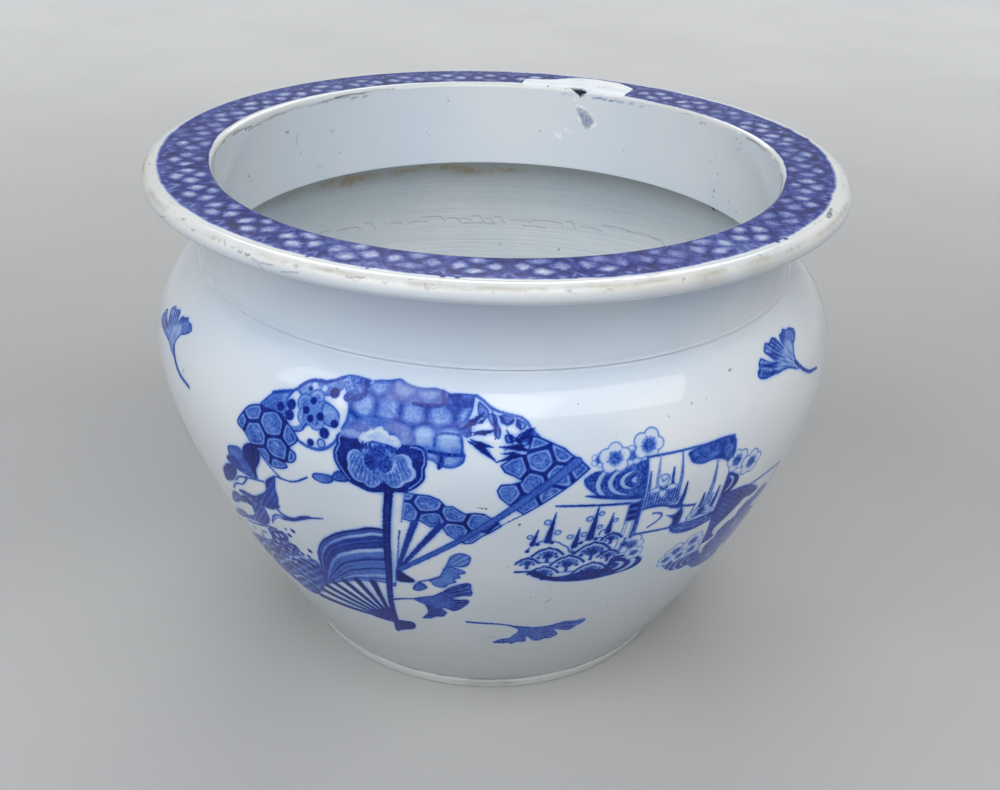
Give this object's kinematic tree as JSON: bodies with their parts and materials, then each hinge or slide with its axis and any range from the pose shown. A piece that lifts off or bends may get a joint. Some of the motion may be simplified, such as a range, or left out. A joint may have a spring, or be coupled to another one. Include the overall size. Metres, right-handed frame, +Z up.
{
  "type": "jardiniere",
  "caption": "Wide porcelain plant pot: trimmed foot ring, flaring body, rounded shoulder, short waisted neck and a flat beaded rim, with blue printed decoration.",
  "frame": {"origin": "centre of the foot ring's resting face, on the axis of the pot", "axes": "+Z up along the axis of the pot, -Y towards the side with the large printed fan"},
  "size_m": [0.45, 0.45, 0.3328],
  "materials": {
    "white_glaze": "glossy bluish white glaze over porcelain, with blue prints",
    "bare_clay": "matt grey beige, unglazed inside",
    "cobalt_print": "glossy cobalt blue print under the glaze: the rim's band, and the motifs on the body",
    "cream_glaze": "glossy creamy white glaze, worn in places",
    "white_filler": "white painted restorer's filler"
  },
  "bodies": {
    "root": {"foot_ring": "white_glaze", "base_slab": "bare_clay", "lower_wall": "white_glaze", "shoulder_wall": "white_glaze", "neck_collar": "white_glaze", "rim_flange": "cobalt_print", "rim_bead": "cream_glaze", "rim_repair_fill": "white_filler"}
  },
  "joints": []
}
